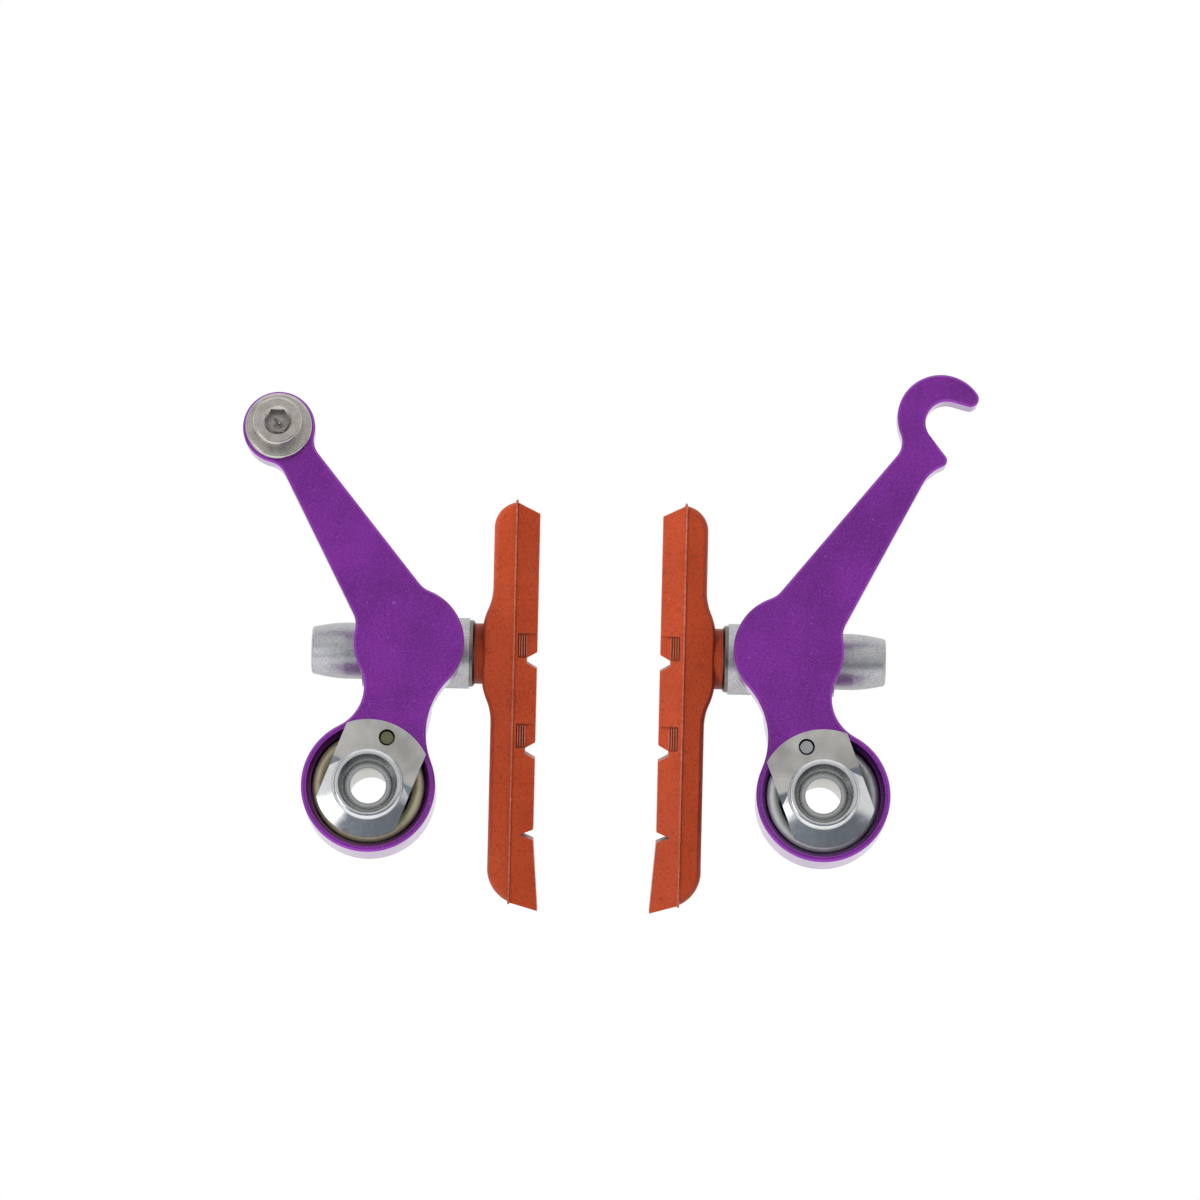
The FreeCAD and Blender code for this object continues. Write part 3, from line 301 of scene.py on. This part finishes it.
def steel(name, low, high, rough, metallic=1.0, stain=None, end=None):
    """Steel with a drawn or turned grain; a stain in patches and a colour for cut ends where given; painted
    shade in sockets and corners, and lighter edges that are part wear and part painted highlight.
    """
    shade = Shader(name)
    colour = shade.mix(shade.patches(1.8 * MM, 0.3, 0.7), low, high)
    if stain:
        colour = shade.mix(shade.patches(0.9 * MM, 0.48, 0.62, 0.8, detail=4.0), colour, stain)
    # Painted shade in sockets and corners.
    colour = shade.mix(shade.crevices(2.5 * MM), colour, tuple(0.55 * c for c in low))
    # Lighter along the edges: part wear, part painted highlight.
    worn_and_highlit = tuple(min(1.0, 1.5 * c + 0.08) for c in high)
    colour = shade.mix(shade.edges(0.2 * MM, 0.35), colour, worn_and_highlit)
    if end:
        front = shade.span(shade.split()["Y"], LOBE_FRONT + END_DEPTH, LOBE_FRONT + END_DEPTH / 2)
        colour = shade.mix(front, colour, end)
    scratch = shade.noise(0.2 * MM, detail=4.0, stretch=(1, 6, 1))
    roughness = shade.span(scratch, 0.3, 0.7, rough - 0.06, rough + 0.08)
    normal = shade.bump(scratch, 0.004 * MM, 0.5)
    return shade.finish(Base_Color=colour, Metallic=metallic, Roughness=roughness, Normal=normal)


def pad_rubber(name, low, high, pale_share, hidden_share):
    """Moulded rubber with fine filler grains and a pale bloom, with painted shade where it is hidden from
    the light and lighter edges that are part wear and part painted highlight.
    """
    shade = Shader(name)
    colour = shade.mix(shade.patches(7 * MM, 0.3, 0.7, detail=4.0), low, high)
    bloom = shade.patches(2.2 * MM, 0.52, 0.75, 0.15, detail=6.0, rough=0.7)
    colour = shade.mix(bloom, colour, (0.52, 0.14, 0.08))
    grain = shade.noise(0.5 * MM, detail=5.0, rough=0.8)
    colour = shade.mix(shade.span(grain, 0.5, 0.66, 0.0, 0.7), colour, (0.25, 0.036, 0.014))
    pale = shade.patches(0.4 * MM, 0.6, 0.72, pale_share, rough=0.7)
    colour = shade.mix(pale, colour, (0.6, 0.26, 0.18))
    # Lighter along the edges: part wear, part painted highlight.
    colour = shade.mix(shade.edges(0.3 * MM, 0.3), colour, (0.66, 0.2, 0.12))
    # Painted shade in corners and beside other pieces, such as round the collar.
    hidden = shade.crevices(4 * MM, 0.3, 0.68, hidden_share, alone=False)
    colour = shade.mix(hidden, colour, (0.07, 0.016, 0.01))
    rough = shade.span(shade.noise(1.5 * MM), 0.3, 0.7, 0.32, 0.42)
    skin = shade.bump(grain, 0.012 * MM, 0.6)
    normal = shade.bump(shade.noise(1.1 * MM), 0.05 * MM, 0.35, normal=skin)
    return shade.finish(Base_Color=colour, Roughness=rough, Normal=normal, Specular_IOR_Level=0.15)


FINISHES = {
    "anodised_purple": anodised_purple(),
    "blasted_alloy": blasted_alloy(),
    "polished_alloy": polished_alloy(),
    "stainless_steel": steel("stainless_steel", (0.46, 0.437, 0.406), (0.61, 0.579, 0.536), 0.26),
    "dark_steel": steel("dark_steel", (0.055, 0.05, 0.048), (0.1, 0.095, 0.09), 0.4),
    "bush_steel": steel("bush_steel", (0.55, 0.53, 0.5), (0.66, 0.64, 0.61), 0.3),
    "yellow_zinc": steel(
        "yellow_zinc", (0.46, 0.45, 0.27), (0.58, 0.56, 0.36), 0.5,
        metallic=0.6, stain=(0.52, 0.42, 0.28), end=(0.15, 0.155, 0.08),
    ),
    "bright_spring": steel(
        "bright_spring", (0.56, 0.57, 0.55), (0.68, 0.69, 0.67), 0.5,
        metallic=0.6, end=(0.38, 0.39, 0.4),
    ),
    "pad_rubber": pad_rubber("pad_rubber", (0.51, 0.067, 0.02), (0.6, 0.083, 0.026), 0.35, 0.9),
}
WASHER_STEEL = steel("washer_steel", (0.15, 0.14, 0.13), (0.23, 0.215, 0.2), 0.34)
# Paler rubber for the flash and the ribs: a painted highlight on these thin ridges.
FLASH_RUBBER = pad_rubber("flash_rubber", (0.5, 0.12, 0.06), (0.62, 0.2, 0.13), 0.9, 0.25)
SLOTS = {part["node"]: part["material_slot"] for part in frame["record"]["subparts"]}
for node_name, slot_name in SLOTS.items():
    mesh = nodes[node_name].data
    mesh.materials.clear()
    thin = node_name.endswith("thin_washer")
    mesh.materials.append(WASHER_STEEL if thin else FINISHES[slot_name])


# Details


def new_piece(name, built, slot, finish=None):
    """Turns a bmesh into a piece in its slot's finish or one of its own."""
    mesh = bpy.data.meshes.new(name)
    bmesh.ops.recalc_face_normals(built, faces=built.faces)
    built.to_mesh(mesh)
    built.free()
    piece = bpy.data.objects.new(name, mesh)
    bpy.context.scene.collection.objects.link(piece)
    mesh.materials.append(finish or FINISHES[slot])
    return piece


def loft(built, rows):
    """Joins rows of points, one after the other, with faces and flat ends."""
    rings = [[built.verts.new(point) for point in row] for row in rows]
    for first, second in zip(rings, rings[1:]):
        for index in range(len(first)):
            after = (index + 1) % len(first)
            built.faces.new((first[index], first[after], second[after], second[index]))
    built.faces.new(rings[0])
    built.faces.new(rings[-1])


def pad_point(sign, x, y, z):
    """A point of a pad, from its own directions: along the post to the rim, across, and up."""
    turned = PAD_LEAN @ Vector((x, y, z))
    return Vector((sign * (BALL.x - turned.x), BALL.y + turned.y, BALL.z + turned.z))


def flash_strip(sign, start, end, outward, draws):
    """One strip of ragged mould flash along a straight run of a pad's parting line, as sections.

    Low on the pad's back it stays short, because the pad reaches furthest back there.
    """
    rows = []
    proud = FLASH_LEAST
    count = round((end - start).length / FLASH_STEP)
    for step in range(count + 1):
        root = start.lerp(end, step / count)
        low_back = outward.x > 0 and root.y < FLASH_LOW
        most = FLASH_LEAST if low_back else FLASH_MOST
        drawn = FLASH_LEAST + (most - FLASH_LEAST) * draws.random() ** 2
        proud += (drawn - proud) * FLASH_SETTLE
        half = FLASH_HALF * (FLASH_THIN + FLASH_SPREAD * draws.random())
        inside = root - outward * FLASH_ROOT
        outside = root + outward * min(proud, most)
        section = ((-1, inside), (1, inside), (FLASH_CREST, outside), (-FLASH_CREST, outside))
        rows.append([pad_point(sign, PARTING + k * half, spot.x, spot.y) for k, spot in section])
    return rows


def mould_flash(sign, draws):
    """The flash round a pad: up both sides, and over the top and bottom."""
    corners = {
        (across, up): Vector((across * PAD_HALF_WIDTH, PAD_TOP if up > 0 else PAD_BOTTOM))
        for across in (-1, 1) for up in (-1, 1)
    }
    runs = [((way, -1), (way, 1), (way, 0)) for way in (-1, 1)]
    runs += [((-1, way), (1, way), (0, way)) for way in (-1, 1)]
    return [
        flash_strip(sign, corners[start], corners[end], Vector(outward), draws)
        for start, end, outward in runs
    ]


def recess_ribs(sign):
    """Fine upright ribs on the floors of a pad's four recesses, as lists of sections."""
    ribs = []
    for way in (-1, 1):
        for low in RECESS_LOWS:
            for index in range(RIB_COUNT):
                x = RECESS_EDGE + (index + RIB_FIRST) * RIB_PITCH
                level = PAD_HALF_WIDTH - BLOCK_DRAFT * (x - PARTING) - RECESS_DEPTH
                level -= RECESS_SLOPE * (x - RECESS_EDGE)
                floor = way * (level - RIB_ROOT)
                crest = way * (level + RIB_HEIGHT)
                section = ((-1, floor), (1, floor), (RIB_CREST, crest), (-RIB_CREST, crest))
                ends = (low + RIB_INSET, low + RECESS_RISE - RIB_INSET)
                ribs.append([
                    [pad_point(sign, x + k * RIB_HALF, y, z) for k, y in section] for z in ends
                ])
    return ribs


def add_pad_details(side, sign):
    """The flash and the ribs of one pad."""
    draws = random.Random(f"{side} flash")
    details = {"mould_flash": mould_flash(sign, draws), "recess_ribs": recess_ribs(sign)}
    for name, strips in details.items():
        built = bmesh.new()
        for rows in strips:
            loft(built, rows)
        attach(new_piece(f"{side}_{name}", built, "pad_rubber", FLASH_RUBBER), f"{side}_pad")


def add_bolt_thread():
    """The thread on the end of the cable bolt, behind the boss."""
    built = bmesh.new()
    rows = []
    steps = round(THREAD_TURNS * THREAD_SIDES)
    for step in range(steps + 1):
        angle = 2 * math.pi * step / THREAD_SIDES
        out = Vector((math.cos(angle), 0, math.sin(angle)))
        depth = THREAD_START + THREAD_PITCH * step / THREAD_SIDES
        fade = min(1.0, min(step, steps - step) / (THREAD_RUNOUT * steps))
        crest = THREAD_ROOT + THREAD_HEIGHT * fade
        section = ((THREAD_ROOT, -THREAD_HALF), (crest, 0), (THREAD_ROOT, THREAD_HALF))
        rows.append([ANCHOR + out * radius + Vector((0, depth + along, 0)) for radius, along in section])
    loft(built, rows)
    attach(new_piece("cable_bolt_thread", built, "stainless_steel"), "left_lever")


def half_spring(node, middle, way):
    """The half of a return spring that lies this way from its middle, closed at the cut."""
    built = bmesh.new()
    built.from_mesh(nodes[node].data)
    bmesh.ops.remove_doubles(built, verts=built.verts, dist=WELD)
    whole = built.verts[:] + built.edges[:] + built.faces[:]
    away = (0, -way, 0)
    cut = bmesh.ops.bisect_plane(built, geom=whole, plane_co=middle, plane_no=away, clear_outer=True)
    rim = [part for part in cut["geom_cut"] if isinstance(part, bmesh.types.BMEdge)]
    bmesh.ops.triangle_fill(built, edges=rim, use_beauty=True)
    return built


def wind_spring(side, sign):
    """Splits a return spring at its middle into the leg half by the cap and the tail half by the arm."""
    node = f"{side}_return_spring"
    low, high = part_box(node)
    leg = Vector((sign * PIVOT_X, low[1] + SPRING_LEG + WIRE_RADIUS, 0))
    tail = Vector((sign * PIVOT_X, high[1] - SPRING_TAIL - WIRE_RADIUS, 0))
    middle = (leg + tail) / 2
    for name, body, end, way in (("leg", "tension", leg, -1), ("tail", "lever", tail, 1)):
        piece = new_piece(f"{side}_spring_{name}", half_spring(node, middle, way), SLOTS[node])
        stored = piece.data.attributes.get("custom_normal")
        if stored:
            piece.data.attributes.remove(stored)
        piece.data.shade_smooth()
        piece.data.set_sharp_from_angle(angle=SHARP)
        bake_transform(piece)
        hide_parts(node)


for side_name, side_sign in SIDES.items():
    add_pad_details(side_name, side_sign)
    wind_spring(side_name, side_sign)
add_bolt_thread()


# Stage

AMBIENT = 0.32
FLOOR_GLOW = 0.5
CARD_GLOW = 0.3
FLOOR_Z = -0.6
MIDDLE = Vector((0.0, -10.0, 34.0)) * MM
WHITE = (0.88, 0.88, 0.88)
GREY = (0.42, 0.46, 0.51)
DARK = (0.27, 0.3, 0.34)


def seen_share(tree):
    """1 for rays from the camera, a mirror or glass, and 0 for rays that light a matt surface."""
    path = tree.nodes.new("ShaderNodeLightPath")
    seen = path.outputs["Is Camera Ray"]
    for name in ("Is Glossy Ray", "Is Transmission Ray"):
        either = tree.nodes.new("ShaderNodeMath")
        either.operation = "MAXIMUM"
        tree.links.new(seen, either.inputs[0])
        tree.links.new(path.outputs[name], either.inputs[1])
        seen = either.outputs[0]
    return seen


def world_light():
    """White where it is seen or mirrored, softer where it lights."""
    world = bpy.data.worlds.new("studio")
    bpy.context.scene.world = world
    world.use_nodes = True
    tree = world.node_tree
    background = tree.nodes["Background"]
    background.inputs["Color"].default_value = (1, 1, 1, 1)
    strength = tree.nodes.new("ShaderNodeMapRange")
    strength.inputs["To Min"].default_value = AMBIENT
    strength.inputs["To Max"].default_value = 1.0
    tree.links.new(seen_share(tree), strength.inputs["Value"])
    tree.links.new(strength.outputs[0], background.inputs["Strength"])


def plain(name, colour, glow):
    """A matt card, with a glow of its own where it is seen or mirrored."""
    shade = Shader(name)
    mottled = shade.mix(shade.patches(0.4, 0.3, 0.7), colour, tuple(0.97 * c for c in colour))
    if glow:
        strength = shade.math("MULTIPLY", seen_share(shade.tree), glow)
        shade.finish(Emission_Color=(1, 1, 1, 1), Emission_Strength=strength)
    return shade.finish(Base_Color=mottled, Roughness=0.9, Specular_IOR_Level=0.1)


def panel(name, centre, size, facing, colour, glow=0.0, seen=False):
    """A flat card of the stage that faces a point; the camera sees only the floor."""
    half_x, half_y = size[0] / 2, size[1] / 2
    mesh = bpy.data.meshes.new(name)
    corners = [(-half_x, -half_y, 0), (half_x, -half_y, 0), (half_x, half_y, 0), (-half_x, half_y, 0)]
    mesh.from_pydata(corners, [], [(0, 1, 2, 3)])
    mesh.materials.append(plain(f"{name}_card", colour, glow))
    card = bpy.data.objects.new(name, mesh)
    bpy.context.scene.collection.objects.link(card)
    card.location = centre
    card.rotation_euler = (Vector(facing) - Vector(centre)).to_track_quat("Z", "Y").to_euler()
    card.visible_camera = seen
    card.visible_shadow = seen


def lamp(name, spot, size, power, glints=False):
    """A soft lamp aimed at the middle; only one that glints is mirrored."""
    light = bpy.data.lights.new(name, "AREA")
    light.shape = "RECTANGLE"
    light.size, light.size_y = size
    light.energy = power
    lit = bpy.data.objects.new(name, light)
    bpy.context.scene.collection.objects.link(lit)
    lit.visible_glossy = glints
    lit.location = spot
    lit.rotation_euler = (MIDDLE - Vector(spot)).to_track_quat("-Z", "Y").to_euler()


world_light()
panel("floor", (0, 0, FLOOR_Z), (8.0, 8.0), (0, 0, 1), WHITE, FLOOR_GLOW, seen=True)
panel("front_card", (0.1, -1.9, 0.35), (2.2, 1.3), MIDDLE, WHITE, CARD_GLOW)
panel("low_card", (0.05, -0.72, -0.29), (1.1, 0.4), MIDDLE, DARK)
panel("left_card", (-0.7, -0.45, 0.3), (0.45, 1.0), MIDDLE, GREY)
panel("right_card", (0.75, -0.46, 0.28), (0.45, 1.1), MIDDLE, GREY)
lamp("key", (-0.43, -0.69, -0.16), (0.2, 0.2), 2.1)
lamp("glint", (-0.41, -0.66, -0.15), (0.2, 0.2), 0.35, glints=True)
lamp("left", (-1.05, -0.35, 0.4), (0.4, 0.6), 7.6)
lamp("fill", (0.95, -0.75, 0.35), (0.4, 0.6), 3.5)
lamp("top", (0.0, 0.1, 1.1), (0.9, 0.4), 3.0)

# Camera, at the photograph's angle
VIEW_WIDTH = 211.6 * MM
VIEW_DROP = math.radians(9)
VIEW_ROLL = math.radians(1.3)
DISTANCE = 1.2
SENSOR = 36.0
aim = Vector((0.0, -20.5, 33.8)) * MM
camera = bpy.data.objects.new("camera", bpy.data.cameras.new("camera"))
bpy.context.scene.collection.objects.link(camera)
back = Vector((0, -math.cos(VIEW_DROP), -math.sin(VIEW_DROP)))
camera.location = aim + back * DISTANCE
turned = (-back).to_track_quat("-Z", "Y") @ Quaternion((0, 0, 1), VIEW_ROLL)
camera.rotation_euler = turned.to_euler()
camera.data.sensor_width = SENSOR
camera.data.lens = SENSOR * DISTANCE / VIEW_WIDTH
bpy.context.scene.camera = camera
bpy.context.scene.view_settings.view_transform = "Standard"
